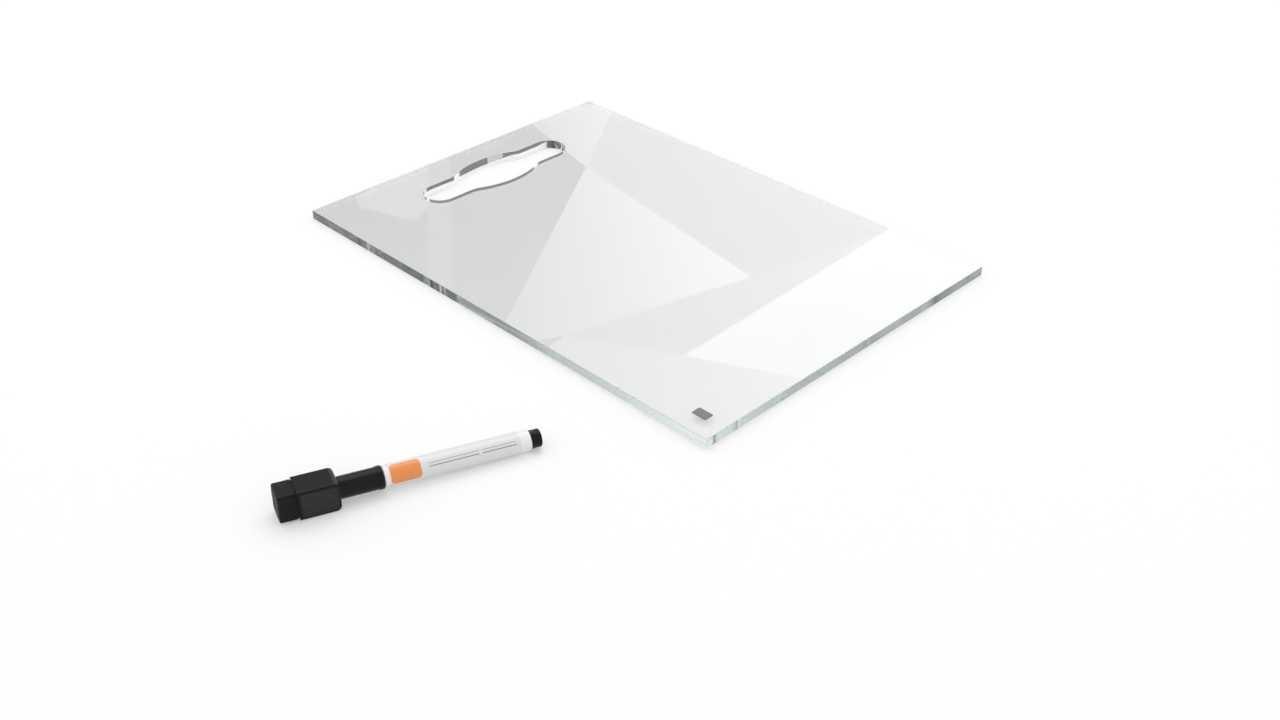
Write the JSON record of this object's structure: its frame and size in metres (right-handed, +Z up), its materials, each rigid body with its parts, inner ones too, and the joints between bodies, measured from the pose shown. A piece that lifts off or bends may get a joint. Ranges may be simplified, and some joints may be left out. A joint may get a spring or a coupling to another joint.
{
  "type": "memo board",
  "caption": "Clear acrylic dry-wipe memo board with a hand-hold slot and a bare corner badge, and its marker pen, whose magnetic eraser cap slides off.",
  "frame": {"origin": "centre of the board's underside, which lies on the table", "axes": "+X along the board from the hand-hold end to the badge end, +Y across it and away from the pen, +Z up, out of the writing face"},
  "size_m": [0.297, 0.3697, 0.0144],
  "materials": {
    "clear_acrylic": "polished",
    "badge_foil": "satin",
    "barrel_plastic": "gloss",
    "label_film": "satin",
    "black_plastic": "gloss",
    "grey_plastic": "satin",
    "liner_plastic": "satin",
    "ink_fibre": "matte",
    "reservoir_fibre": "matte",
    "magnet_ferrite": "satin",
    "eraser_felt": "matte"
  },
  "bodies": {
    "board": {"acrylic_panel": "clear_acrylic", "corner_badge": "badge_foil"},
    "pen": {"pen_barrel": "barrel_plastic", "pen_label": "label_film", "nib_section": "grey_plastic", "nib": "ink_fibre", "ink_reservoir": "reservoir_fibre", "end_plug": "black_plastic"},
    "cap": {"cap_shell": "black_plastic", "cap_liner": "liner_plastic", "cap_magnet": "magnet_ferrite", "eraser_pad": "eraser_felt"}
  },
  "joints": [
    {"name": "pen_lift", "type": "slide", "parent": "board", "child": "pen", "axis": [0, 0, 1], "range_m": [0, 0.15]},
    {"name": "cap_slide", "type": "slide", "parent": "pen", "child": "cap", "axis": [-0.3419, -0.9394, 0.0249], "range_m": [0, 0.04]}
  ]
}
